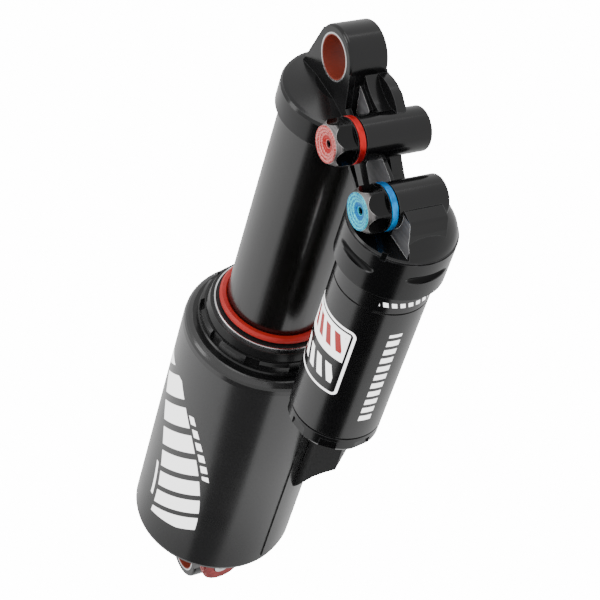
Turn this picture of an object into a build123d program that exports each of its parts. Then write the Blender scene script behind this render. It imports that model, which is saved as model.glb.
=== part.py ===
"""Piggyback air shock for a bicycle rear suspension, drawn at full extension.

Millimetres.  The origin is the centre of the upper (body) eyelet bore.
+X runs along the eyelet bores, +Z runs up the damper axis from the shaft
eyelet to the body eyelet, and the reservoir stands on the -Y side.
"""
from build123d import *
import os
from math import cos, radians, sin

# ---------------------------------------------------------------- driving sizes
EYE_TO_EYE = 241.3
STROKE = 76.0
BORE_R = 6.35
LINER_R = 6.7
BUSH_R = 7.2
EYE_HALF = 6.35
EYE_R = 9.6
RUN = 0.05            # radial clearance of a running fit

# damper tube and the collar it screws into
TUBE_R = 16.3
TUBE_BORE = 14.3
TUBE_END = -127.0
COLLAR_R = 18.3
COLLAR_TOP = -12.5
COLLAR_END = -22.4
TUBE_SEAT = -20.2
HEAD_CEILING = -16.8

# cross tubes of the two adjusters: (y, z, mouth x, far end x)
TUBE_X_R = 6.7
REB_Y, REB_Z, REB_MOUTH, REB_FAR = -24.0, -9.6, -9.1, 12.75
COM_Y, COM_Z, COM_MOUTH, COM_FAR = -44.5, -16.56, -7.6, 9.2
ADJ_BORE = 4.2
PLUG_R = 4.6
PLUG_LEN = 4.0
SPINDLE_R = 2.2

# adjuster knobs
KNOB_GAP = 0.5
FLANGE_R = 7.0
FLANGE_T = 2.1
KNOB_LEN = 9.5
GRIP_R = 6.95
GRIP_BORE = 4.3
DIAL_R = 5.45
DIAL_T = 0.5
DISH_R = 5.1
DISH_DEPTH = 1.2
SCREW_R = 1.2
SCREW_FACE = 1.5
SCREW_END = 3.0
NOSE_R = 5.5
NOSE_T = 2.2
FLUTES = 6
FLUTE_R = 14.25
FLUTE_AXIS = 20.0
FLUTE_TURN = 4.0

# reservoir
RES_Y = -44.5
RES_R = 14.75
RES_BORE = 13.0
CUP_R = 16.8
CUP_TOP = -24.5
CUP_END = -40.5
CUP_SEAT = -32.0
CUP_CEILING = -27.6
RES_GROOVE_Z = -47.9
RES_END = -104.7
CAP_END = -111.2

# air can
CAN_R = 28.0
CAN_BORE = 25.5
CAN_TOP = -115.5
CAN_SHOULDER = -118.0
CAN_END = -217.0
INNER_R = 23.4
INNER_BORE = 21.9
INNER_END = -207.0
SEAL_HEAD_TOP = -107.3
SEAL_HEAD_END = -119.6
LOCK_R = 23.6
LOCK_TOP = -110.3
WIPER_R = 20.1
RING_Z = -104.5
BOSS_AZ = -50.0
BOSS_ROUND = 4.5

# damper internals
SHAFT_R = 6.0
SHAFT_BORE = 2.8
ROD_R = 2.7
SHAFT_TOP = -100.5
PISTON_TOP = -106.0
PISTON_END = -112.0
HEAD_TOP = -116.0
AIR_PISTON_TOP = -121.4
AIR_PISTON_END = -130.0
BASE_TOP = -208.0

# shaft eyelet and its adjuster
EYE2_Z = -EYE_TO_EYE
LOW_Z = -231.5
LOW_R = 7.4
LOW_FACE = -16.2

os.makedirs("parts", exist_ok=True)


# ---------------------------------------------------------------- shape helpers
def rod_z(r, z0, z1, x=0.0, y=0.0):
    return Pos(x, y, (z0 + z1) / 2) * Cylinder(r, abs(z1 - z0))


def rod_x(r, x0, x1, y=0.0, z=0.0):
    return Pos((x0 + x1) / 2, y, z) * Rot(0, 90, 0) * Cylinder(r, abs(x1 - x0))


def rod_y(r, y0, y1, x=0.0, z=0.0):
    return Pos(x, (y0 + y1) / 2, z) * Rot(90, 0, 0) * Cylinder(r, abs(y1 - y0))


def rod_between(r, start, end):
    axis = Vector(*end) - Vector(*start)
    middle = (Vector(*end) + Vector(*start)) * 0.5
    return Plane(origin=middle, z_dir=axis) * Cylinder(r, axis.length)


def common(a, b):
    """Shared volume of two shapes as one part."""
    shared = a & b
    solids = shared.solids() if hasattr(shared, "solids") else shared
    return Part(children=list(solids)) if len(solids) > 1 else Part(solids[0].wrapped)


def tube_z(ro, ri, z0, z1, x=0.0, y=0.0):
    return rod_z(ro, z0, z1, x, y) - rod_z(ri, min(z0, z1) - 1, max(z0, z1) + 1, x, y)


def tube_x(ro, ri, x0, x1, y=0.0, z=0.0):
    return rod_x(ro, x0, x1, y, z) - rod_x(ri, min(x0, x1) - 1, max(x0, x1) + 1, y, z)


def turned_z(points, x=0.0, y=0.0):
    """Solid of revolution about a Z line from (radius, height) points."""
    face = make_face(Plane.XZ * Polyline(*points, close=True))
    return Pos(x, y, 0) * revolve(face, Axis.Z)


def block(x0, x1, y0, y1, z0, z1):
    return Pos((x0 + x1) / 2, (y0 + y1) / 2, (z0 + z1) / 2) * Box(
        abs(x1 - x0), abs(y1 - y0), abs(z1 - z0)
    )


def plate_x(points, x0, x1):
    """Plate lying between two X planes with a (y, z) outline."""
    face = make_face(Plane.YZ.offset(x0) * Polyline(*points, close=True))
    return extrude(face, x1 - x0, dir=(1, 0, 0))


def polar(r, degrees):
    return r * cos(radians(degrees)), r * sin(radians(degrees))


def spaced(shape, count, axis_x=0.0, axis_y=0.0, start=0.0):
    """Copies of a shape turned about a Z line."""
    out = []
    for i in range(count):
        turn = Rot(0, 0, start + i * 360 / count)
        out.append(Pos(axis_x, axis_y, 0) * turn * Pos(-axis_x, -axis_y, 0) * shape)
    return out


def round_edges(solid, edges, size):
    """Fillet that falls back to a smaller size where space is short."""
    for s in (size, size * 0.6, size * 0.3):
        try:
            return fillet(edges, s)
        except Exception:
            continue
    return solid


def circles_at(solid, axis, position, tol=0.02):
    picked = []
    for edge in solid.edges().filter_by(GeomType.CIRCLE):
        centre = edge.arc_center
        value = {"x": centre.X, "y": centre.Y, "z": centre.Z}[axis]
        if abs(value - position) < tol:
            picked.append(edge)
    return ShapeList(picked)


def save(shape, name):
    solids = shape.solids() if hasattr(shape, "solids") else shape
    body = solids[0] if len(solids) == 1 else Compound(children=list(solids))
    body.label = name
    export_step(body, f"parts/{name}.step")


# ---------------------------------------------------------------- head forging
eye = rod_x(EYE_R, -EYE_HALF, EYE_HALF)
eye = round_edges(eye, circles_at(eye, "x", -EYE_HALF) + circles_at(eye, "x", EYE_HALF), 0.9)

collar = turned_z([
    (0, COLLAR_TOP + 1.3),
    (8.5, COLLAR_TOP + 1.2),
    (COLLAR_R - 1.5, COLLAR_TOP - 0.5),
    (COLLAR_R - 0.5, COLLAR_TOP - 0.9),
    (COLLAR_R, COLLAR_TOP - 1.9),
    (COLLAR_R, COLLAR_END + 0.5),
    (COLLAR_R - 0.5, COLLAR_END),
    (0, COLLAR_END),
])

NECK = [(8.6, 4.2), (13.9, COLLAR_TOP - 0.5), (-12.8, COLLAR_TOP - 0.5), (-9.5, 1.0)]
neck = plate_x(NECK, -EYE_HALF, EYE_HALF)

# the forging is open between its front plate, a thin middle web and a back plate
PLATE_IN = -4.3
WEB_FRONT = -2.2
WEB_BACK = -1.0
BACK_IN = 3.2
ARM_ROOT = [(-24.0, -9.6), (-17.0, -15.0), (-6.0, -14.0), (-6.0, 5.0)]
LOBE_ARC = [(-9.4, 0.2), (-16.2, 0.9), (-24.0, -4.0)]
COLUMN_ARC = [(-8.9, 1.0), (-13.6, -2.3), (-20.5, -3.9)]


def arm_plate(arc, x0, x1):
    """Slice of the arm whose upper rim is an arc between the eye and the first cross tube."""
    rim = Line(ARM_ROOT[-1], arc[0]) + ThreePointArc(*arc)
    outline = rim + Polyline(arc[-1], *ARM_ROOT)
    return extrude(Plane.YZ.offset(x0) * make_face(outline), x1 - x0, dir=(1, 0, 0))


arm = arm_plate(LOBE_ARC, BACK_IN, EYE_HALF) + arm_plate(COLUMN_ARC, WEB_BACK, BACK_IN)
ARM_WEB = [(-8.0, -0.6), (-10.0, -2.6), (-17.5, -5.8), (-20.0, -12.0), (-17.0, -15.0), (-6.0, -14.0)]
ARM_FRONT = [(-9.5, 1.0), (-12.2, -9.4), (-19.0, -12.5), (-19.0, -15.0), (-6.0, -14.0)]
arm += plate_x(ARM_WEB, WEB_FRONT, WEB_BACK)
arm += plate_x(ARM_ROOT[1:3] + [(-6.5, -8.5), (-12.0, -13.0), (-18.5, -12.0)], PLATE_IN, WEB_FRONT)
arm += plate_x(ARM_FRONT, -EYE_HALF, PLATE_IN)

LINK_LOW = [(-41.0, -31.5), (-29.2, -31.5), (-24.5, -28.2), (-20.0, -26.2), (-15.5, COLLAR_END)]
LINK_BACK = [(-15.5, -13.5), (-24.0, -15.4), (-27.0, -15.9), (-31.4, -20.0), (-41.0, -26.0)]
LINK_FRONT = [(-15.5, -14.6), (-23.0, -16.7), (-25.2, -17.6), (-29.8, -21.7), (-34.0, -24.4), (-41.0, -26.0)]
LINK_FRONT_LOW = [(-41.0, -28.6), (-32.5, -27.0), (-27.8, -23.6), (-23.4, -20.4), (-15.5, -20.0)]
LINK_FLOOR = [(-15.5, -20.8), (-20.0, -25.0), (-24.5, -27.0), (-29.2, -30.2), (-41.0, -30.2)]
LINK_WEB = [
    (-23.8, -11.6), (-29.5, -13.3), (-34.4, -15.0), (-41.0, -18.5),
    (-41.0, -31.5), (-29.2, -31.5), (-24.4, -28.1), (-23.8, -20.8),
]
link = plate_x(LINK_BACK + LINK_LOW, 2.4, EYE_HALF)
link += plate_x(LINK_FLOOR + LINK_LOW, PLATE_IN - 0.4, 2.4)
link += plate_x(LINK_WEB, WEB_FRONT, WEB_BACK)
link += plate_x(LINK_FRONT + LINK_FRONT_LOW, -EYE_HALF, PLATE_IN)

reb_tube = rod_x(TUBE_X_R, REB_MOUTH, REB_FAR, REB_Y, REB_Z)
reb_tube = round_edges(reb_tube, circles_at(reb_tube, "x", REB_FAR), 0.9)
com_tube = rod_x(TUBE_X_R, COM_MOUTH, COM_FAR, COM_Y, COM_Z)
com_tube = round_edges(com_tube, circles_at(com_tube, "x", COM_FAR), 0.9)

cup = turned_z([
    (0, CUP_TOP),
    (CUP_R - 0.7, CUP_TOP),
    (CUP_R, CUP_TOP - 0.7),
    (CUP_R, CUP_END + 0.9),
    (CUP_R - 0.9, CUP_END),
    (0, CUP_END),
], 0, RES_Y)
DOME_ARC = [(16.3, CUP_TOP - 0.2), (14.0, -20.4), (9.0, -17.7)]
DOME_FOOT = CUP_TOP - 1.0
rim_r, rim_z = DOME_ARC[0]
crown_r, crown_z = DOME_ARC[2]
dome_line = ThreePointArc(*DOME_ARC)
dome_line += Polyline((crown_r, crown_z), (0, crown_z), (0, DOME_FOOT), (rim_r, DOME_FOOT), (rim_r, rim_z))
dome = Pos(0, RES_Y, 0) * revolve(make_face(Plane.XZ * dome_line), Axis.Z)
dome = common(dome, block(-EYE_HALF, 20.0, RES_Y - 18.0, -38.6, DOME_FOOT, -10.0))
SADDLE = [
    (-38.2, CUP_TOP - 0.5), (-38.2, -17.0), (-50.8, -13.2), (-54.8, -14.4),
    (-56.2, -17.8), (-57.0, -20.6), (-57.0, CUP_TOP - 0.5),
]
saddle = plate_x(SADDLE, -EYE_HALF, 6.2)
saddle = round_edges(saddle, saddle.edges().filter_by(Axis.X).sort_by(Axis.Y)[2:4], 1.6)

BACK_XZ = [(5.0, -13.0), (5.0, -7.4), (11.5, -9.0), (15.4, -10.9), (18.0, -13.2)]
back_face = make_face(Plane.XZ.offset(-8.0) * Polyline(*BACK_XZ, close=True))
back_slope = common(extrude(back_face, 23, dir=(0, -1, 0)), rod_z(COLLAR_R - 0.4, -13.4, -6.0))

head = eye + collar + neck + arm + link + reb_tube + com_tube + cup + dome + saddle + back_slope

# sockets for the tubes, the oil way between them and the adjuster bores
head -= rod_x(BUSH_R, -EYE_HALF - 1, EYE_HALF + 1)
head -= rod_z(TUBE_R, COLLAR_END - 1, TUBE_SEAT)
head -= rod_z(TUBE_BORE, COLLAR_END, HEAD_CEILING)
head -= rod_z(RES_R, CUP_END - 1, CUP_SEAT, 0, RES_Y)
head -= rod_z(RES_BORE, CUP_END, CUP_CEILING, 0, RES_Y)
head -= rod_between(0.8, (4.4, -12.0, -17.4), (4.4, -40.0, -28.3))
for y, z, mouth, far in ((REB_Y, REB_Z, REB_MOUTH, REB_FAR), (COM_Y, COM_Z, COM_MOUTH, COM_FAR)):
    head -= rod_x(ADJ_BORE, mouth + 3.0, far - PLUG_LEN, y, z)
    head -= rod_x(PLUG_R, far - PLUG_LEN, far + 1, y, z)
    head -= rod_x(SPINDLE_R + RUN, mouth - 1, mouth + 4, y, z)
    head -= rod_x(SPINDLE_R + 1.4, mouth + 0.8, mouth + 2.4, y, z)
    head -= rod_x(0.85, mouth - 1, mouth + 3.4, y, z + 4.9)
SLOT_Z = -31.4
slot = rod_y(1.7, -8.0, 8.0, CUP_R + 0.1, SLOT_Z)
for turn in (192, 275, 10, 100):
    head -= Pos(0, RES_Y, 0) * Rot(0, 0, turn) * slot
head -= tube_z(CUP_R + 1, CUP_R - 0.3, CUP_TOP - 0.9, CUP_TOP - 0.5, 0, RES_Y)
key = block(CUP_R - 1.6, CUP_R + 1, -0.8, 0.8, CUP_TOP - 1.6, CUP_TOP + 1)
head -= Pos(0, RES_Y, 0) * Rot(0, 0, 221.6) * key
save(head, "head_forging")


# ---------------------------------------------------------------- eyelet bushes
def eyelet_bush(prefix, z):
    shell = tube_x(BUSH_R, LINER_R, -EYE_HALF, EYE_HALF, 0, z)
    liner = tube_x(LINER_R, BORE_R, -EYE_HALF + 0.1, EYE_HALF - 0.1, 0, z)
    save(shell, f"{prefix}_bush_shell")
    save(liner, f"{prefix}_bush_liner")


eyelet_bush("body_eyelet", 0.0)
eyelet_bush("shaft_eyelet", EYE2_Z)

# ---------------------------------------------------------------- damper tube
damper_tube = tube_z(TUBE_R, TUBE_BORE, TUBE_END, TUBE_SEAT)
save(damper_tube, "damper_tube")

seal_plug = tube_z(TUBE_BORE, SHAFT_R + RUN, TUBE_END, HEAD_TOP)
seal_plug -= tube_z(SHAFT_R + 2.4, SHAFT_R - 1, -125.6, -122.8)
seal_plug -= tube_z(SHAFT_R + 1.1, SHAFT_R - 1, -121.6, -117.0)
save(seal_plug, "shaft_seal_head")
save(tube_z(SHAFT_R + 2.4, SHAFT_R + RUN, -125.6, -122.8), "shaft_seal")
save(tube_z(SHAFT_R + 1.1, SHAFT_R + RUN, -121.6, -117.0), "shaft_guide_bush")

air_piston = tube_z(INNER_BORE - 0.1, TUBE_R, AIR_PISTON_END, AIR_PISTON_TOP)
air_piston += tube_z(TUBE_R, SHAFT_R + 3.0, AIR_PISTON_END, TUBE_END)
air_piston -= tube_z(INNER_BORE + 1, INNER_BORE - 2.6, -125.2, -122.4)
air_piston -= tube_z(INNER_BORE + 1, INNER_BORE - 1.1, -129.0, -126.4)
save(air_piston, "air_piston")
save(tube_z(INNER_BORE - RUN, INNER_BORE - 2.6, -125.2, -122.4), "air_piston_seal")
save(tube_z(INNER_BORE - RUN, INNER_BORE - 1.1, -129.0, -126.4), "air_piston_guide_band")

# ---------------------------------------------------------------- reservoir
res_tube = tube_z(RES_R, RES_BORE, RES_END, CUP_SEAT, 0, RES_Y)
res_tube -= tube_z(RES_R + 1, RES_R - 0.3, RES_GROOVE_Z - 0.3, RES_GROOVE_Z + 0.3, 0, RES_Y)
save(res_tube, "reservoir_tube")

VALVE_R = 2.6
end_cap = turned_z([
    (VALVE_R, -97.5),
    (RES_BORE, -97.5),
    (RES_BORE, RES_END),
    (RES_R - 0.5, RES_END),
    (RES_R - 0.5, RES_END - 0.6),
    (RES_R, RES_END - 0.8),
    (RES_R, CAP_END + 1.4),
    (RES_R - 0.5, CAP_END + 0.4),
    (RES_R - 1.6, CAP_END),
    (9.6, CAP_END),
    (9.0, CAP_END + 2.4),
    (6.4, CAP_END + 2.4),
    (6.4, CAP_END + 1.0),
    (VALVE_R, CAP_END + 1.0),
], 0, RES_Y)
end_cap -= tube_z(RES_BORE + 1, RES_BORE - 1.5, -101.6, -99.6, 0, RES_Y)
for pin in spaced(rod_z(1.1, CAP_END, CAP_END + 4.0, 7.7, RES_Y), 3, 0, RES_Y, 20):
    end_cap -= pin
cap_notch = Pos(0, RES_Y, 0) * block(RES_R - 0.8, RES_R + 1, -2.8, 2.8, CAP_END - 1, CAP_END + 4.2)
for cutter in spaced(cap_notch, 8, 0, RES_Y, 9):
    end_cap -= cutter
save(end_cap, "reservoir_end_cap")
save(tube_z(RES_BORE, RES_BORE - 1.5, -101.6, -99.6, 0, RES_Y), "reservoir_end_cap_seal")

charge = tube_z(VALVE_R, 1.6, -114.6, -96.0, 0, RES_Y)
charge += tube_z(3.6, VALVE_R, -97.5, -96.0, 0, RES_Y)
save(charge, "charge_valve_body")
core = rod_z(1.6, -113.4, -100.0, 0, RES_Y) + rod_z(0.6, -114.2, -113.4, 0, RES_Y)
save(core, "charge_valve_core")

cap = turned_z([
    (0, -117.4),
    (2.8, -117.4),
    (3.6, -116.6),
    (3.6, -110.9),
    (VALVE_R + RUN, -110.9),
    (VALVE_R + RUN, -114.9),
    (0, -114.9),
], 0, RES_Y)
for flute in spaced(rod_z(0.35, -116.0, -110.0, 3.75, RES_Y), 18, 0, RES_Y):
    cap -= flute
save(cap, "charge_valve_cap")

IFP_TOP = -58.0
IFP_LEN = 13.0
ifp = rod_z(RES_BORE - RUN, IFP_TOP - IFP_LEN, IFP_TOP, 0, RES_Y)
ifp -= rod_z(9.0, IFP_TOP - IFP_LEN - 1, IFP_TOP - 4.0, 0, RES_Y)
ifp -= tube_z(RES_BORE + 1, RES_BORE - 1.8, IFP_TOP - 5.4, IFP_TOP - 3.0, 0, RES_Y)
save(ifp, "floating_piston")
seal = tube_z(RES_BORE - RUN, RES_BORE - 1.8, IFP_TOP - 5.4, IFP_TOP - 3.0, 0, RES_Y)
save(seal, "floating_piston_seal")


# ---------------------------------------------------------------- adjusters
def adjuster(prefix, y, z, mouth, far):
    """Knob, spindle, plug, seal and click detent of one cross tube."""
    root = mouth - KNOB_GAP
    face = root - KNOB_LEN
    grip_front = face + DIAL_T

    core = rod_x(FLANGE_R, root - FLANGE_T, root, y, z)
    core = round_edges(core, circles_at(core, "x", root - FLANGE_T) + circles_at(core, "x", root), 0.3)
    core += rod_x(GRIP_BORE, face + 0.2, root - FLANGE_T, y, z)
    dial = rod_x(DIAL_R, face, grip_front, y, z)
    dial = round_edges(dial, circles_at(dial, "x", face), 0.25)
    core += dial
    core -= Pos(face + DISH_DEPTH / 2, y, z) * Rot(0, 90, 0) * Cone(DISH_R, SCREW_R, DISH_DEPTH)
    core -= rod_x(SCREW_R, face, face + SCREW_END, y, z)
    core -= rod_x(1.9, face + SCREW_END, root + 1, y, z)
    save(core, f"{prefix}_knob_core")

    grip = turned_z([
        (GRIP_BORE, grip_front),
        (NOSE_R, grip_front),
        (GRIP_R, grip_front + NOSE_T),
        (GRIP_R, root - FLANGE_T - 0.3),
        (GRIP_R - 0.3, root - FLANGE_T),
        (GRIP_BORE, root - FLANGE_T),
    ])
    grip = Pos(0, y, z) * Rot(0, 90, 0) * grip
    for i in range(FLUTES):
        a, b = polar(FLUTE_AXIS, FLUTE_TURN + i * 360 / FLUTES)
        grip -= rod_x(FLUTE_R, grip_front - 1, root - FLANGE_T - 0.5, y + a, z + b)
    save(grip, f"{prefix}_knob_grip")

    spindle = rod_x(SPINDLE_R, root, mouth + 5.6, y, z)
    spindle += rod_x(1.9, face + SCREW_END, root, y, z)
    spindle += rod_x(ADJ_BORE - 0.35, mouth + 5.6, mouth + 8.4, y, z)
    spindle += Pos(mouth + 9.9, y, z) * Rot(0, 90, 0) * Cone(ADJ_BORE - 0.35, 1.2, 3.0)
    save(spindle, f"{prefix}_spindle")

    screw = rod_x(SCREW_R, face + SCREW_FACE, face + SCREW_END, y, z)
    hexagon = Pos(face + SCREW_FACE - 0.2, y, z) * Rot(0, 90, 0) * extrude(RegularPolygon(0.8, 6), 1.2)
    save(screw - hexagon, f"{prefix}_knob_screw")

    plug = rod_x(PLUG_R, far - PLUG_LEN, far - 0.4, y, z)
    socket = Pos(far - 2.6, y, z) * Rot(0, 90, 0) * extrude(RegularPolygon(2.6, 6), 5)
    save(plug - socket, f"{prefix}_tube_plug")

    save(tube_x(SPINDLE_R + 1.4, SPINDLE_R + RUN, mouth + 0.8, mouth + 2.4, y, z), f"{prefix}_spindle_seal")
    ball_x = mouth + 0.45
    save(Pos(ball_x, y, z + 4.9) * Sphere(0.8), f"{prefix}_detent_ball")


adjuster("rebound", REB_Y, REB_Z, REB_MOUTH, REB_FAR)
adjuster("compression", COM_Y, COM_Z, COM_MOUTH, COM_FAR)


# ---------------------------------------------------------------- air can
def sector(r0, r1, a0, a1, z0, z1):
    """Ring segment between two azimuths."""
    steps = 12
    points = []
    for i in range(steps + 1):
        points.append(polar(r1 * 1.3, a0 + (a1 - a0) * i / steps))
    points.append((0.0, 0.0))
    face = Plane.XY.offset(z0) * make_face(Polyline(*points, close=True))
    wedge = extrude(face, z1 - z0, dir=(0, 0, 1))
    return common(tube_z(r1, r0, z0, z1), wedge)


def boss_plate(points, t0, t1):
    """Prism on the can side: (outward, height) outline between two sideways offsets."""
    outward = (*polar(1, BOSS_AZ), 0)
    sideways = (*polar(1, BOSS_AZ + 90), 0)
    frame = Plane(origin=Vector(*sideways) * t0, x_dir=outward, z_dir=Vector(*sideways) * -1)
    return extrude(frame * make_face(Polyline(*points, close=True)), t1 - t0, dir=sideways)


can = turned_z([
    (CAN_BORE, CAN_TOP),
    (CAN_R - 2.0, CAN_TOP - 0.2),
    (CAN_R - 1.2, CAN_TOP - 0.7),
    (CAN_R - 0.6, CAN_TOP - 1.5),
    (CAN_R - 0.2, CAN_SHOULDER),
    (CAN_R, CAN_SHOULDER - 1.8),
    (CAN_R, CAN_END + 2.6),
    (CAN_R - 0.4, CAN_END + 1.3),
    (CAN_R - 1.4, CAN_END + 0.3),
    (CAN_R - 2.4, CAN_END),
    (CAN_BORE, CAN_END),
])
PAD_R = CAN_R + 0.4
can += sector(CAN_BORE + 1, PAD_R, -77, -22, CAN_END + 4.5, CAN_SHOULDER - 4)
BOSS = [
    (CAN_BORE + 0.5, -124.0), (34.0, -126.0), (38.6, -131.0), (38.9, -155.4),
    (36.0, -159.0), (32.8, -163.5), (30.2, -168.5), (CAN_BORE + 0.5, -177.0),
]
boss = boss_plate(BOSS, -10.4, 10.4)
VALVE_U, VALVE_Z = 33.0, -142.0
boss_u = polar(1, BOSS_AZ)
boss_t = polar(1, BOSS_AZ + 90)


def along_t(r, t0, t1, z=VALVE_Z, u=VALVE_U):
    """Rod crossing the side boss at a given outward distance."""
    mid = (t0 + t1) / 2
    x = boss_u[0] * u + boss_t[0] * mid
    y = boss_u[1] * u + boss_t[1] * mid
    return Pos(x, y, z) * Rot(0, 0, BOSS_AZ + 90) * Rot(0, 90, 0) * Cylinder(r, t1 - t0)


vertical = boss.edges().filter_by(Axis.Z)
boss = round_edges(boss, vertical, BOSS_ROUND)
can += boss
can -= rod_z(CAN_BORE, CAN_END - 1, CAN_TOP + 1)
can -= along_t(3.2, 2.0, 11.0)
save(can, "air_can_sleeve")

save(along_t(3.2, 2.0, 13.4) - along_t(2.0, 1.0, 15.0), "air_valve_body")
save(along_t(2.0, 2.4, 12.4) + along_t(0.6, 12.4, 13.2), "air_valve_core")
valve_cap = along_t(4.2, 10.6, 17.4) - along_t(3.2 + RUN, 9.0, 13.8)
save(valve_cap, "air_valve_cap")

inner = tube_z(INNER_R, INNER_BORE, INNER_END, -120.6)
for z in (-200.0, -190.0):
    for turn in range(0, 180, 45):
        inner -= Rot(0, 0, turn) * rod_x(1.5, -CAN_R + 2, CAN_R - 2, 0, z)
save(inner, "inner_air_sleeve")

seal_head = turned_z([
    (TUBE_R + RUN, SEAL_HEAD_END),
    (CAN_BORE, SEAL_HEAD_END),
    (CAN_BORE, CAN_TOP),
    (22.0, CAN_TOP),
    (22.0, LOCK_TOP + 0.3),
    (21.2, SEAL_HEAD_TOP),
    (TUBE_R + RUN, SEAL_HEAD_TOP),
])
seal_head -= tube_z(TUBE_R + 2.0, TUBE_R - 1, -118.4, -115.4)
seal_head -= tube_z(TUBE_R + 1.2, TUBE_R - 1, -114.2, -110.6)
seal_head -= tube_z(CAN_BORE + 1, CAN_BORE - 1.6, -118.6, -116.6)
seal_head -= rod_z(WIPER_R - 0.6, -109.4, SEAL_HEAD_TOP + 1)
save(seal_head, "can_seal_head")
save(tube_z(TUBE_R + 2.0, TUBE_R + RUN, -118.4, -115.4), "can_main_seal")
save(tube_z(TUBE_R + 1.2, TUBE_R + RUN, -114.2, -110.6), "can_guide_bush")
save(tube_z(CAN_BORE, CAN_BORE - 1.6, -118.6, -116.6), "can_static_seal")

lock = turned_z([
    (22.0, CAN_TOP),
    (LOCK_R + 0.4, CAN_TOP),
    (LOCK_R + 0.4, CAN_TOP + 1.2),
    (LOCK_R, CAN_TOP + 1.6),
    (LOCK_R, LOCK_TOP - 0.8),
    (LOCK_R - 0.8, LOCK_TOP),
    (22.0, LOCK_TOP),
])
notch = block(LOCK_R - 1.2, LOCK_R + 2, -2.4, 2.4, LOCK_TOP - 3.4, LOCK_TOP + 1)
for cutter in spaced(notch, 10, 0, 0, 12):
    lock -= cutter
save(lock, "can_lock_ring")

wiper_case = turned_z([
    (TUBE_R + 1.6, -109.4),
    (WIPER_R - 0.6, -109.4),
    (WIPER_R - 0.6, SEAL_HEAD_TOP),
    (WIPER_R, SEAL_HEAD_TOP),
    (WIPER_R, -106.35),
    (WIPER_R - 0.15, -106.2),
    (WIPER_R - 0.45, -106.2),
    (WIPER_R - 0.45, -106.8),
    (WIPER_R - 1.4, -107.0),
    (WIPER_R - 1.4, -108.4),
    (TUBE_R + 1.6, -108.4),
])
save(wiper_case, "wiper_case")
wiper_lip = turned_z([
    (TUBE_R + 0.3, -109.4),
    (TUBE_R + 1.6, -109.4),
    (TUBE_R + 1.6, -108.4),
    (WIPER_R - 1.4, -108.4),
    (WIPER_R - 1.4, -107.0),
    (WIPER_R - 0.45, -106.8),
    (WIPER_R - 0.45, -106.55),
    (TUBE_R + 0.9, -106.4),
    (TUBE_R + RUN, -105.9),
    (TUBE_R + RUN, -106.6),
    (TUBE_R + 0.6, -107.8),
])
save(wiper_lip, "wiper_lip")

ring = turned_z([
    (TUBE_R + RUN, RING_Z - 0.8),
    (TUBE_R + 0.5, RING_Z - 1.15),
    (TUBE_R + 1.7, RING_Z - 1.15),
    (TUBE_R + 2.35, RING_Z - 0.5),
    (TUBE_R + 2.35, RING_Z + 0.5),
    (TUBE_R + 1.7, RING_Z + 1.15),
    (TUBE_R + 0.5, RING_Z + 1.15),
    (TUBE_R + RUN, RING_Z + 0.8),
])
save(ring, "travel_ring")

save(tube_z(20.6, TUBE_R + 0.3, SEAL_HEAD_END - 1.4, SEAL_HEAD_END), "top_out_bumper")
bumper = turned_z([
    (SHAFT_R + RUN, BASE_TOP),
    (14.0, BASE_TOP),
    (13.0, BASE_TOP + 1.0),
    (13.4, BASE_TOP + 1.8),
    (11.8, BASE_TOP + 1.9),
    (SHAFT_R + RUN, BASE_TOP + 1.9),
])
save(bumper, "bottom_out_bumper")

# ---------------------------------------------------------------- shaft side
base = turned_z([
    (0, BASE_TOP),
    (INNER_BORE, BASE_TOP),
    (INNER_BORE, INNER_END),
    (INNER_R, INNER_END),
    (CAN_BORE, INNER_END - 1.4),
    (CAN_BORE, CAN_END + 0.2),
    (16.0, CAN_END - 0.6),
    (0, CAN_END - 0.6),
])
low_eye = rod_x(EYE_R, -EYE_HALF, EYE_HALF, 0, EYE2_Z)
low_eye = round_edges(low_eye, circles_at(low_eye, "x", -EYE_HALF) + circles_at(low_eye, "x", EYE_HALF), 0.9)
stem = plate_x([
    (-13.0, CAN_END), (-9.4, EYE2_Z + 1.5), (9.4, EYE2_Z + 1.5), (13.0, CAN_END),
], -EYE_HALF, EYE_HALF)
low_boss = rod_y(4.6, -12.3, -3.0, 0, LOW_Z)
shaft_eye = base + low_eye + stem + low_boss
shaft_eye -= rod_x(BUSH_R, -EYE_HALF - 1, EYE_HALF + 1, 0, EYE2_Z)
shaft_eye -= rod_z(SHAFT_R, -220.0, BASE_TOP + 1)
shaft_eye -= rod_z(ROD_R + 0.3, LOW_Z, -219.0)
shaft_eye -= rod_y(1.65, -14.0, 4.0, 0, LOW_Z)
save(shaft_eye, "shaft_eyelet")

shaft = tube_z(SHAFT_R, SHAFT_BORE, -220.0, PISTON_END - 2.2)
shaft += tube_z(4.0, SHAFT_BORE, PISTON_END - 2.2, SHAFT_TOP)
save(shaft, "shaft")
rod = rod_z(ROD_R, -228.4, -116.0) + rod_z(1.6, -229.8, -228.4)
rod += Pos(0, 0, -114.5) * Cone(ROD_R, 0.9, 3.0)
save(rod, "rebound_rod")

piston = tube_z(TUBE_BORE - 0.25, 4.0, PISTON_END, PISTON_TOP)
for port in spaced(rod_z(1.4, PISTON_END - 1, PISTON_TOP + 1, 8.4, 0), 6):
    piston -= port
piston -= tube_z(TUBE_BORE + 1, TUBE_BORE - 1.3, -111.2, -106.8)
save(piston, "main_piston")
save(tube_z(TUBE_BORE - RUN, TUBE_BORE - 1.3, -111.2, -106.8), "main_piston_band")


def shim_stack(radii, z0, step):
    stack = tube_z(radii[0], 4.0, z0, z0 + step)
    for i, r in enumerate(radii[1:], start=1):
        stack += tube_z(r, 4.0, z0 + i * step, z0 + (i + 1) * step)
    return stack


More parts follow.
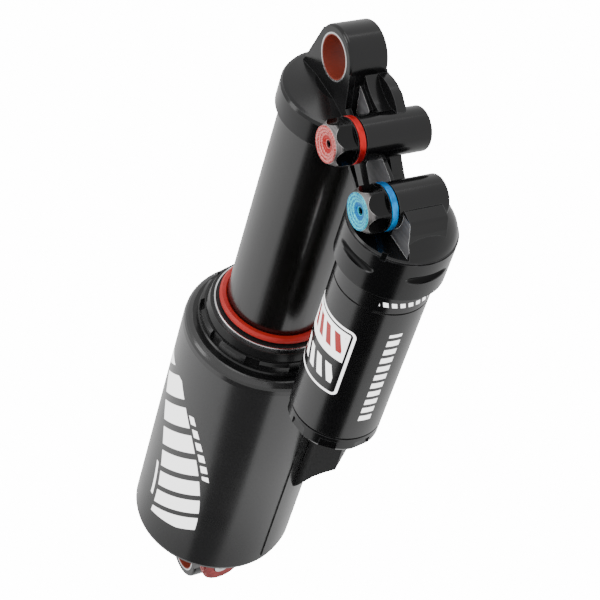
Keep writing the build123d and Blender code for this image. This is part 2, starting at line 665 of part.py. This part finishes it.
save(shim_stack([11.0, 10.0, 8.5, 7.0], PISTON_TOP, 0.4), "rebound_shims")
low_stack = shim_stack([7.0, 8.5, 10.0, 11.0], PISTON_END - 1.6, 0.4)
low_stack += tube_z(SHAFT_R + 0.6, 4.0, PISTON_END - 2.2, PISTON_END - 1.6)
save(low_stack, "compression_shims")
nut = Pos(0, 0, PISTON_TOP + 1.6) * extrude(RegularPolygon(7.4, 6), 3.4)
save(nut - rod_z(4.0, PISTON_TOP, SHAFT_TOP + 1), "piston_nut")

# ---------------------------------------------------------------- shaft adjuster
knob = rod_y(LOW_R, LOW_FACE, -12.9, 0, LOW_Z)
knob = round_edges(knob, circles_at(knob, "y", LOW_FACE) + circles_at(knob, "y", -12.9), 0.5)
for i in range(20):
    a, b = polar(LOW_R + 0.5, i * 360 / 20)
    knob -= rod_y(0.9, LOW_FACE - 1, -12.0, a, LOW_Z + b)
knob -= rod_y(3.2, LOW_FACE - 1, LOW_FACE + 0.8, 0, LOW_Z)
knob -= rod_y(1.6, LOW_FACE - 1, -12.0, 0, LOW_Z)
save(knob, "shaft_knob")
save(rod_y(1.6, LOW_FACE + 2.6, 3.6, 0, LOW_Z), "shaft_knob_spindle")
low_screw = rod_y(2.8, LOW_FACE - 0.3, LOW_FACE + 0.8, 0, LOW_Z)
low_screw += rod_y(1.6, LOW_FACE + 0.8, LOW_FACE + 2.6, 0, LOW_Z)
low_hex = Pos(0, LOW_FACE + 0.5, LOW_Z) * Rot(90, 0, 0) * extrude(RegularPolygon(1.4, 6), 3)
save(low_screw - low_hex, "shaft_knob_screw")
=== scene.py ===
"""Studio picture of a piggyback air shock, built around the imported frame."""
import bpy
import math
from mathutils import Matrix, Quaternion, Vector


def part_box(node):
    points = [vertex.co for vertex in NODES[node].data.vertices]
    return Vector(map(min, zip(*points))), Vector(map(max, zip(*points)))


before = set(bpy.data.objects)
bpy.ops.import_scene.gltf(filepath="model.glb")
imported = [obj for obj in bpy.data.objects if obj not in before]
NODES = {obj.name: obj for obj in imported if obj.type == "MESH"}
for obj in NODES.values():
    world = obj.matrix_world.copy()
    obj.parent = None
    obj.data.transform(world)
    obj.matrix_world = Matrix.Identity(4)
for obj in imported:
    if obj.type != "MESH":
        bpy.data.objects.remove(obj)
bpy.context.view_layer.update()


def middle(node, axis):
    """Middle of a node along an axis, 0 for X to 2 for Z."""
    low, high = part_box(node)
    return (low[axis] + high[axis]) / 2


# sizes and places in metres, in the row frame
RES_Y = middle("reservoir_tube", 1)
RES_R = RES_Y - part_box("reservoir_tube")[0][1]
CAN_R = -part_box("air_can_sleeve")[0][0]
CAN_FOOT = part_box("air_can_sleeve")[0][2]
# painted shade: the can's shine fades away over this height towards its foot
CAN_SHADE_FADE = (CAN_FOOT + 0.002, CAN_FOOT + 0.057)
BOSS_Z, BOSS_HALF = -0.15, 0.0295
# milled faces of the head forging, painted grey as lit faces with painted highlights on their edges: the
# web of the arm and the corner over the reservoir
WEB_X, WEB_Y, WEB_HALF = -0.0022, -0.024, 0.0179
CORNER_X, CORNER_Y, CORNER_HALF_Y = -0.00635, -0.0535, 0.0048
CORNER_Z, CORNER_HALF_Z = -0.0195, 0.0051
MILLED_DEPTH, MILLED_BLUR = 0.00006, 0.00002
# floors of the spanner slots in the reservoir's head, given less shine as painted shade
SLOT_R, SLOT_Z, SLOT_HALF = 0.01655, -0.0314, 0.00205
# knobs: the grip's cone nose, and the dial with its darker ring round the screw
NOSE_R, NOSE_T, GRIP_R = 0.0055, 0.0022, 0.00695
DIAL_DEPTH, DARK_RING_R, DARK_RING_HALF = 0.0015, 0.00195, 0.00055
# printed patterns, which are laid out in millimetres
PRINT_BLUR = 0.1
# the white print glows at this strength as painted light, brighter than its lighting makes it
PRINT_GLOW = 1.9
CAN_WHITE = (0.88, 0.88, 0.87)
LABEL_WHITE = (0.86, 0.86, 0.85)
LABEL_RED = (0.55, 0.012, 0.012)


# ------------------------------------------------------------------ node algebra
class Field:
    """A value in a node tree that can be written as ordinary arithmetic."""

    def __init__(self, tree, socket):
        self.tree = tree
        self.socket = socket

    def _math(self, operation, *values):
        node = self.tree.nodes.new("ShaderNodeMath")
        node.operation = operation
        for slot, value in zip(node.inputs, values):
            if isinstance(value, Field):
                self.tree.links.new(value.socket, slot)
            else:
                slot.default_value = value
        return Field(self.tree, node.outputs[0])

    def __add__(self, other):
        return self._math("ADD", self, other)

    def __sub__(self, other):
        return self._math("SUBTRACT", self, other)

    def __mul__(self, other):
        return self._math("MULTIPLY", self, other)

    def abs(self):
        return self._math("ABSOLUTE", self)

    def max(self, other):
        return self._math("MAXIMUM", self, other)

    def wrap(self, low, high):
        return self._math("WRAP", self, high, low)

    def sin(self):
        return self._math("SINE", self)

    def angle_to(self, other):
        """Angle in degrees of the point (self, other), from -180 to 180."""
        return self._math("ARCTAN2", other, self) * (180 / math.pi)

    def length(self, other):
        """Distance of the point (self, other) from zero."""
        return self._math("SQRT", self * self + other * other)

    def ramp(self, low, high, out_low=0.0, out_high=1.0):
        """Smooth step from out_low at low to out_high at high."""
        node = self.tree.nodes.new("ShaderNodeMapRange")
        node.interpolation_type = "SMOOTHSTEP"
        node.clamp = True
        self.tree.links.new(self.socket, node.inputs["Value"])
        for name, value in (
            ("From Min", low), ("From Max", high), ("To Min", out_low), ("To Max", out_high),
        ):
            node.inputs[name].default_value = value
        return Field(self.tree, node.outputs["Result"])

    def step(self, level, blur=PRINT_BLUR):
        """0 below the level and 1 above it, with a soft edge."""
        return self.ramp(level - blur, level + blur)

    def band(self, centre, half, blur=PRINT_BLUR):
        """1 within half of the centre and 0 beyond it, with soft edges."""
        return (self - centre).abs().ramp(half + blur, half - blur)

    def stripes(self, half_pitch, half, blur=PRINT_BLUR):
        """A band round zero, repeated every two half pitches."""
        return self.wrap(-half_pitch, half_pitch).band(0.0, half, blur)


class Shader:
    """A material under construction, in the row frame."""

    def __init__(self, name):
        self.material = bpy.data.materials.new(name)
        self.material.use_nodes = True
        self.tree = self.material.node_tree
        self.bsdf = self.tree.nodes["Principled BSDF"]
        coords = self.tree.nodes.new("ShaderNodeTexCoord")
        self.position = coords.outputs["Object"]
        self.x, self.y, self.z = self._split(self.position)
        self.facing_x = self._split(coords.outputs["Normal"])[0].abs().ramp(0.9, 0.97)

    def _split(self, vector):
        node = self.tree.nodes.new("ShaderNodeSeparateXYZ")
        self.tree.links.new(vector, node.inputs[0])
        return [Field(self.tree, output) for output in node.outputs]

    def _feed(self, socket, value):
        if isinstance(value, Field):
            self.tree.links.new(value.socket, socket)
        elif isinstance(value, tuple) and len(value) == 3:
            socket.default_value = (*value, 1.0)
        else:
            socket.default_value = value

    def set(self, **values):
        """Fills the Principled shader's sockets, named in lower case with underscores."""
        for key, value in values.items():
            self._feed(self.bsdf.inputs[key.replace("_", " ").title().replace("Ior", "IOR")], value)

    def noise(self, scale, detail=3.0, stretch=(1, 1, 1)):
        mapping = self.tree.nodes.new("ShaderNodeMapping")
        mapping.inputs["Scale"].default_value = stretch
        self.tree.links.new(self.position, mapping.inputs["Vector"])
        node = self.tree.nodes.new("ShaderNodeTexNoise")
        node.inputs["Scale"].default_value = scale
        node.inputs["Detail"].default_value = detail
        node.inputs["Roughness"].default_value = 0.55
        self.tree.links.new(mapping.outputs[0], node.inputs["Vector"])
        return Field(self.tree, node.outputs["Fac"])

    def edges(self, reach):
        """1 on edges and corners, 0 on open faces."""
        rounded = self.tree.nodes.new("ShaderNodeBevel")
        rounded.samples = 4
        rounded.inputs["Radius"].default_value = reach
        geometry = self.tree.nodes.new("ShaderNodeNewGeometry")
        dot = self.tree.nodes.new("ShaderNodeVectorMath")
        dot.operation = "DOT_PRODUCT"
        self.tree.links.new(rounded.outputs[0], dot.inputs[0])
        self.tree.links.new(geometry.outputs["Normal"], dot.inputs[1])
        return Field(self.tree, dot.outputs["Value"]).ramp(0.995, 0.86)

    def mix(self, factor, low, high):
        """Colour between low and high."""
        node = self.tree.nodes.new("ShaderNodeMix")
        node.data_type = "RGBA"
        for index, value in ((0, factor), (6, low), (7, high)):
            self._feed(node.inputs[index], value)
        return Field(self.tree, node.outputs[2])

    def with_relief(self, height, strength, distance):
        """Adds fine relief and returns the finished material."""
        node = self.tree.nodes.new("ShaderNodeBump")
        node.inputs["Strength"].default_value = strength
        node.inputs["Distance"].default_value = distance
        self.tree.links.new(height.socket, node.inputs["Height"])
        self.tree.links.new(node.outputs[0], self.bsdf.inputs["Normal"])
        return self.material


# ------------------------------------------------------------------ finishes
def gloss_forging(name):
    """Black anodised forging, polished but for faint die texture, with edges lightened as rubbed wear and
    painted highlight, and machined web and corner faces painted grey as lit faces with painted bright
    highlights on their edges.
    """
    s = Shader(name)
    cloud = s.noise(60, 4)
    grain = s.noise(2600, 2)
    edge = s.edges(0.00045)
    # edges lightened at random: partly rubbed wear, partly painted highlight
    edge_wear_and_sheen = edge * s.noise(300, 4).ramp(0.3, 0.6, 0.35, 1.0)
    web = s.x.band(WEB_X, MILLED_DEPTH, MILLED_BLUR) * s.y.band(WEB_Y, WEB_HALF, 0.0001)
    corner = s.x.band(CORNER_X, MILLED_DEPTH, MILLED_BLUR) * s.y.band(CORNER_Y, CORNER_HALF_Y, 0.0001)
    corner = corner * s.z.band(CORNER_Z, CORNER_HALF_Z, 0.0001)
    # painted light: the web and corner faces that face along X are painted as lit faces
    milled_painted_lit = web.max(corner) * s.facing_x
    cutter = s.noise(700, 3, stretch=(1.0, 0.15, 1.0))
    slot = s.x.length(s.y - RES_Y).band(0.0, SLOT_R, 0.0001) * s.z.band(SLOT_Z, SLOT_HALF, 0.00015)
    black = s.mix(edge_wear_and_sheen * 0.45, (0.004, 0.004, 0.0044), (0.13, 0.13, 0.135))
    # painted light: the grey of the lit faces, streaked by cutter marks
    grey = s.mix(cutter.ramp(0.3, 0.7), (0.085, 0.085, 0.09), (0.14, 0.14, 0.145))
    s.set(
        # painted highlight: near-white edges round the lit faces
        base_color=s.mix(milled_painted_lit * edge, s.mix(milled_painted_lit, black, grey), (0.9, 0.9, 0.9)),
        roughness=cloud.ramp(0.3, 0.7, 0.15, 0.21) + edge_wear_and_sheen * 0.1 + milled_painted_lit * 0.25,
        # painted shade: less shine on the slot floors
        specular_ior_level=slot * -0.36 + 0.46,
    )
    return s.with_relief(grain * 0.25 + cloud + milled_painted_lit * cutter, 0.08, 0.0001)


def satin_tube(name, tint, rough, shine, graphics=None, cast_boss=False):
    """Satin anodised tube with fine turning marks, which may carry print whose white glows as painted
    light, and a duller cast boss; with the boss, the can's shine fades towards its foot as painted shade.
    """
    s = Shader(name)
    turned = s.noise(900, 2, stretch=(0.05, 0.05, 1.6))
    # edges lightened at random: partly rubbed wear, partly painted highlight
    edge_wear_and_sheen = s.edges(0.0006) * s.noise(260, 4).ramp(0.4, 0.62)
    colour = s.mix(edge_wear_and_sheen * 0.5, tint, tuple(c + 0.06 for c in tint))
    roughness = s.noise(50, 4).ramp(0.3, 0.7, rough, rough + 0.05) + edge_wear_and_sheen * 0.1
    relief = turned * 0.4
    if graphics:
        colour, ink, white = graphics(s, colour)
        roughness = roughness + ink * 0.12
        relief = relief + ink * 0.9
        # painted light: the white print glows although it is no lamp
        s.set(emission_color=(1, 1, 1), emission_strength=white * PRINT_GLOW)
    if cast_boss:
        cast = s.x.length(s.y).step(CAN_R + 0.001, 0.0004) * s.z.band(BOSS_Z, BOSS_HALF, 0.0005)
        roughness = roughness + cast * 0.3
        # painted shade: the shine fades towards the can's foot; the cast boss is also duller
        shine = s.z.ramp(*CAN_SHADE_FADE, shine * 0.28, shine) * (cast * -0.6 + 1.0)
    s.set(base_color=colour, roughness=roughness, specular_ior_level=shine)
    return s.with_relief(relief, 0.06, 0.00008)


def unrolled(s, radius, y0, bearing):
    """Distance round a vertical tube from the given bearing, and the height, in millimetres."""
    turn = s.x.angle_to(s.y - y0).wrap(0.0, 360.0) - bearing
    return turn * (radius * 1000 * math.pi / 180), s.z * 1000


def can_graphics(s, base):
    """Abstract striped sash: wide bars stacked down the can's left side, with a row of dashes."""
    bearing, foot, top, half_width, blur = 200.0, -198.5, -136.0, 9.375, 0.15
    across, up = unrolled(s, CAN_R, 0.0, bearing)
    # the sash's right edge is a parabola that is widest at this height
    bow = up + 195.0
    right = bow * bow * -0.0062 + 12.2
    inset = right - across
    span = inset.band(half_width, half_width, blur)
    reach = (up + inset * 0.25).step(foot, blur) * up.ramp(top + blur, top - blur)
    bars = span * reach * (up + inset * 0.55).stripes(4.6, 3.325, 0.125)
    dashes = inset.band(-2.6, 1.25) * up.band(-157.0, 12.9) * (up + inset * 0.3).stripes(2.3, 1.45)
    sliver = inset.band(21.3, 0.65) * up.band(-188.0, 8.1)
    ink = bars.max(dashes).max(sliver)
    # the third mask sets where the white print glows as painted light
    return s.mix(ink, base, CAN_WHITE), ink, ink


def label_graphics(s, base):
    """Rounded label with a white border, red slashes over white ones, a ladder and a ring of dashes."""
    bearing, middle_z, split_z, half_w, half_h, corner = 180.0, -73.0, -72.6, 11.2, 14.0, 2.2
    row_half, row_offset = 3.5, 6.6
    across, up = unrolled(s, RES_R, RES_Y, bearing)
    dx = (across.abs() - (half_w - corner)).max(0.0)
    dy = ((up - middle_z).abs() - (half_h - corner)).max(0.0)
    depth = dx.length(dy) * -1.0 + corner
    outline = depth.step(0.0, 0.12) * depth.ramp(1.0, 0.78)
    inside = depth.step(1.675, 0.125)
    upper = inside * up.step(split_z, 0.15)
    slash = (across + up * 0.35).stripes(2.1, 1.2) * across.band(0.0, 8.3)
    scarlet = upper * up.band(split_z + row_offset, row_half) * slash
    lower = inside * up.band(split_z - row_offset, row_half) * slash
    ladder = across.band(22.6, 2.1) * up.stripes(1.9, 1.15) * up.band(-77.0, 20.1)
    ring = across.band(22.5, 8.5) * (across + up * 0.3).stripes(1.3, 0.775, 0.075)
    ring = ring * up.band(-44.2, 0.875, 0.075)
    ink = outline.max(upper).max(lower).max(ladder).max(ring)
    colour = s.mix(scarlet, s.mix(ink, base, LABEL_WHITE), LABEL_RED)
    # the third mask sets where the white inks glow as painted light; the red does not glow
    return colour, ink, ink - scarlet * ink


def hard_tube(name):
    """Polished hard-anodised tube with fine honing and light rub lines."""
    s = Shader(name)
    lines = s.noise(420, 3, stretch=(1.0, 1.0, 0.012))
    hone = s.noise(5200, 2, stretch=(0.08, 0.08, 1.0))
    cloud = s.noise(35, 3)
    s.set(
        base_color=s.mix(cloud.ramp(0.3, 0.7), (0.0035, 0.0034, 0.0033), (0.006, 0.0058, 0.0056)),
        roughness=lines.ramp(0.35, 0.7, 0.16, 0.24),
        specular_ior_level=0.9,
    )
    return s.with_relief(hone * 0.5 + lines, 0.06, 0.00005)


def knob_place(s, node):
    """Depth behind a knob's outer face and radius from its axis, which runs along X."""
    radius = (s.y - middle(node, 1)).length(s.z - middle(node, 2))
    return s.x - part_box(node)[0][0], radius


def anodised(name, node, colour, dark, pale):
    """Coloured anodised aluminium, etched on the rim, with turned rings on the face painted pale and
    sparkling as a painted reflection.
    """
    s = Shader(name)
    depth, radius = knob_place(s, node)
    face = depth.band(0.0, DIAL_DEPTH, 0.0001)
    rings = (radius * 7000.0).sin()
    spark = s.noise(2400, 2).ramp(0.42, 0.6)
    grain = s.noise(2200, 3)
    # edges lightened to pale at random: partly rubbed wear, partly painted highlight
    edge_wear_and_sheen = s.edges(0.0004) * s.noise(600, 3).ramp(0.4, 0.6)
    plain = s.mix(s.noise(240, 3).ramp(0.35, 0.65), dark, colour)
    dark_ring = radius.band(DARK_RING_R, DARK_RING_HALF, 0.0001)
    # painted reflection: pale turned rings and sparkle on the dial's face
    turned = s.mix(spark * 0.6 + rings.ramp(-0.4, 0.9) * 0.5 - dark_ring * 0.8, dark, pale)
    s.set(
        base_color=s.mix(edge_wear_and_sheen * 0.5, s.mix(face, plain, turned), pale),
        roughness=grain.ramp(0.3, 0.7, 0.3, 0.42),
        metallic=0.7,
    )
    return s.with_relief(grain * 0.6 + rings * face * 0.6 + spark * face * 0.5, 0.4, 0.0001)


def knob_grip(name, node):
    """Gloss black grip whose cone nose is painted as grey metal, a painted reflection, with bright painted
    highlights on its edges.
    """
    s = Shader(name)
    depth, radius = knob_place(s, node)
    cone = depth * ((GRIP_R - NOSE_R) / NOSE_T) + NOSE_R
    # painted reflection: the cone nose is painted grey metal
    nose = (radius - cone).ramp(-0.00007, -0.00003) * depth.ramp(0.0019, 0.0012)
    orange = s.noise(900, 2)
    cut = s.noise(1400, 2, stretch=(3.0, 0.3, 0.3))
    edge = s.edges(0.0004)
    # edges lightened at random: partly rubbed wear, partly painted highlight
    edge_wear_and_sheen = edge * s.noise(500, 3).ramp(0.35, 0.6)
    black = s.mix(edge_wear_and_sheen * 0.6, (0.002, 0.002, 0.0022), (0.1, 0.1, 0.105))
    grey = s.mix(cut.ramp(0.3, 0.7), (0.16, 0.15, 0.15), (0.26, 0.25, 0.25))
    s.set(
        # painted highlight: near-white edges on the nose
        base_color=s.mix(nose, black, s.mix(edge, grey, (0.85, 0.84, 0.83))),
        roughness=s.noise(150, 3).ramp(0.3, 0.7, 0.1, 0.16) + nose * 0.2,
        metallic=nose * 0.8,
        specular_ior_level=0.3,
    )
    return s.with_relief(orange * 0.4 + cut * nose * 0.4, 0.1, 0.00008)


def moulded(name, base, rough):
    """Moulded plastic with a faint orange-peel surface."""
    s = Shader(name)
    cloud = s.noise(150, 3)
    s.set(
        base_color=s.mix(cloud.ramp(0.3, 0.7), base, tuple(c * 1.6 for c in base)),
        roughness=cloud.ramp(0.3, 0.7, rough, rough + 0.1),
        specular_ior_level=0.5,
    )
    return s.with_relief(s.noise(900, 2), 0.1, 0.00008)


def metal(name, colour, rough):
    """Bare turned metal, slightly clouded."""
    s = Shader(name)
    turned = s.noise(1500, 3)
    s.set(
        base_color=s.mix(s.noise(120, 3).ramp(0.35, 0.65), tuple(c * 0.8 for c in colour), colour),
        roughness=turned.ramp(0.3, 0.7, rough, rough + 0.15),
        metallic=1.0,
    )
    return s.with_relief(turned, 0.07, 0.00004)


def soft(name, colour, rough):
    """Rubber or bearing plastic with a fine grain."""
    s = Shader(name)
    fine = s.noise(1800, 3)
    s.set(
        base_color=s.mix(s.noise(140, 3).ramp(0.3, 0.7), tuple(c * 0.8 for c in colour), colour),
        roughness=fine.ramp(0.3, 0.7, rough, rough + 0.15),
        specular_ior_level=0.45,
    )
    return s.with_relief(fine, 0.2, 0.00006)


# anodised colours: the rim, its darker clouds and the dial's grooves, and the pale of the dial's ridges
# and edges, partly painted reflection and highlight
RED = (0.78, 0.02, 0.02), (0.5, 0.008, 0.008), (1.0, 0.38, 0.36)
DULL_RED = (0.34, 0.03, 0.03), (0.2, 0.012, 0.012), (0.5, 0.2, 0.19)
BLUE = (0.0, 0.4, 1.0), (0.0, 0.16, 0.5), (0.05, 0.95, 1.0)

FINISH = {
    gloss_forging("forging_black"): (
        "head_forging", "shaft_eyelet", "reservoir_end_cap", "rebound_tube_plug", "compression_tube_plug",
    ),
    satin_tube("can_printed", (0.02, 0.02, 0.0205), 0.18, 0.75, can_graphics, cast_boss=True): (
        "air_can_sleeve",
    ),
    satin_tube("can_black", (0.006, 0.006, 0.0064), 0.2, 0.45): ("can_lock_ring", "can_seal_head"),
    satin_tube("reservoir_printed", (0.004, 0.004, 0.0044), 0.18, 0.75, label_graphics): (
        "reservoir_tube",
    ),
    hard_tube("tube_hard"): ("damper_tube",),
    anodised("red_anodised", "rebound_knob_core", *RED): ("rebound_knob_core",),
    anodised("dull_red_anodised", "shaft_knob", *DULL_RED): ("shaft_knob",),
    anodised("blue_anodised", "compression_knob_core", *BLUE): ("compression_knob_core",),
    knob_grip("rebound_grip_black", "rebound_knob_grip"): ("rebound_knob_grip",),
    knob_grip("compression_grip_black", "compression_knob_grip"): ("compression_knob_grip",),
    metal("black_oxide_steel", (0.03, 0.03, 0.033), 0.3): ("rebound_knob_screw", "compression_knob_screw"),
    metal("bright_steel", (0.82, 0.82, 0.83), 0.2): (
        "body_eyelet_bush_shell", "shaft_eyelet_bush_shell", "wiper_case", "shaft_knob_screw",
        "shaft_knob_spindle", "rebound_detent_ball", "compression_detent_ball", "rebound_shims",
        "compression_shims", "piston_nut", "rebound_spindle", "compression_spindle",
    ),
    soft("liner_red_brown", (0.28, 0.045, 0.025), 0.35): (
        "body_eyelet_bush_liner", "shaft_eyelet_bush_liner",
    ),
    metal("raw_aluminium", (0.72, 0.72, 0.74), 0.3): (
        "shaft_seal_head", "air_piston", "floating_piston", "inner_air_sleeve", "main_piston",
        "rebound_rod",
    ),
    metal("chrome_shaft", (0.85, 0.85, 0.87), 0.06): ("shaft",),
    soft("red_rubber", (0.6, 0.02, 0.015), 0.38): ("travel_ring",),
    soft("black_rubber", (0.014, 0.014, 0.015), 0.55): (
        "shaft_seal", "air_piston_seal", "reservoir_end_cap_seal", "floating_piston_seal",
        "can_main_seal", "can_static_seal", "wiper_lip", "top_out_bumper", "bottom_out_bumper",
        "rebound_spindle_seal", "compression_spindle_seal",
    ),
    metal("brass_turned", (0.72, 0.5, 0.2), 0.25): (
        "air_valve_body", "air_valve_core", "charge_valve_body", "charge_valve_core",
    ),
    soft("bearing_white", (0.78, 0.76, 0.7), 0.4): (
        "shaft_guide_bush", "air_piston_guide_band", "can_guide_bush", "main_piston_band",
    ),
    moulded("cap_plastic", (0.014, 0.014, 0.015), 0.4): ("air_valve_cap", "charge_valve_cap"),
}
for material, names in FINISH.items():
    for name in names:
        mesh = NODES[name].data
        mesh.materials.clear()
        mesh.materials.append(material)

# ------------------------------------------------------------------ studio
FLOOR_Z = -0.5
FLOOR_REACH = 40.0
ROOM_REACH = 6.0
CENTRE = Vector((0, -0.02, -0.12))
# black card on the floor on the camera's side, as (x, y) corners; seen only in reflections, it paints dark
# reflections into the shock's glossy faces
CARD = [(-0.2, -0.17), (-1.8, -0.17), (-1.8, -2.4), (-0.4, -2.4), (-0.02, -0.28), (-0.1, -0.1)]
RAYS = ("camera", "diffuse", "glossy", "transmission", "volume_scatter", "shadow")


def only_seen_by(obj, ray):
    for other in RAYS:
        setattr(obj, "visible_" + other, other == ray)


def stage_piece(name, points, faces, material):
    mesh = bpy.data.meshes.new(name)
    mesh.from_pydata(points, [], faces)
    mesh.materials.append(material)
    obj = bpy.data.objects.new(name, mesh)
    bpy.context.collection.objects.link(obj)
    return obj


def sheet(name, outline, z, material):
    """Flat horizontal stage piece with the given (x, y) outline."""
    return stage_piece(name, [(x, y, z) for x, y in outline], [range(len(outline))], material)


def room(name, outline, low, high, material):
    """Floor and walls over the given (x, y) outline."""
    count = len(outline)
    points = [(x, y, low) for x, y in outline] + [(x, y, high) for x, y in outline]
    walls = [(i, (i + 1) % count, count + (i + 1) % count, count + i) for i in range(count)]
    return stage_piece(name, points, [range(count)] + walls, material)


def square(reach):
    return [(-reach, -reach), (reach, -reach), (reach, reach), (-reach, reach)]


def matt(name, low, high, glow=0.0):
    """Dull grey paper, card or lit screen between two brightnesses."""
    s = Shader(name)
    s.set(
        base_color=s.mix(s.noise(3, 2).ramp(0.3, 0.7), (low,) * 3, (high,) * 3),
        roughness=1.0,
        specular_ior_level=0.0,
        emission_color=(1, 1, 1),
        emission_strength=glow,
    )
    return s.material


sheet("studio_floor", square(FLOOR_REACH), FLOOR_Z, matt("paper", 0.92, 0.94))
# a lit surround that only the camera sees, just above the floor and within every view's reach
backlit = matt("backlit_acrylic", 0.92, 0.94, 14.0)
only_seen_by(room("backlit_room", square(ROOM_REACH), FLOOR_Z + 0.002, ROOM_REACH, backlit), "camera")
# painted reflection: the card is seen only by glossy rays
only_seen_by(sheet("dark_reflection_card", CARD, FLOOR_Z + 0.01, matt("flocked_black", 0.004, 0.01)), "glossy")


def softbox(name, place, size, radiance):
    """Rectangular light of an even brightness, aimed at the shock and unseen by the camera."""
    data = bpy.data.lights.new(name, "AREA")
    data.shape = "RECTANGLE"
    data.size, data.size_y = size
    data.energy = radiance * math.pi * size[0] * size[1]
    light = bpy.data.objects.new(name, data)
    light.location = place
    light.rotation_euler = (CENTRE - Vector(place)).to_track_quat("-Z", "Y").to_euler()
    light.visible_camera = False
    bpy.context.collection.objects.link(light)


softbox("overhead", (0.2, 0.3, 1.3), (0.8, 0.8), 2.0)
softbox("key_left", (-0.9, 0.35, 0.35), (0.35, 0.9), 3.0)

world = bpy.data.worlds.new("studio")
world.use_nodes = True
world.node_tree.nodes["Background"].inputs["Color"].default_value = (1, 1, 1, 1)
world.node_tree.nodes["Background"].inputs["Strength"].default_value = 1.02
bpy.context.scene.world = world

# ------------------------------------------------------------------ camera
lens = bpy.data.cameras.new("camera")
lens.sensor_width = 36
lens.lens = 118.88
lens.clip_start = 0.01
lens.clip_end = 50
camera = bpy.data.objects.new("camera", lens)
camera.location = (-0.28389, -0.35529, 0.34995)
camera.rotation_mode = "QUATERNION"
# turn from looking straight down with +Y at the top of the picture
camera.rotation_quaternion = Quaternion((0.90689, 0.336922, -0.185186, -0.172452))
bpy.context.collection.objects.link(camera)
bpy.context.scene.camera = camera
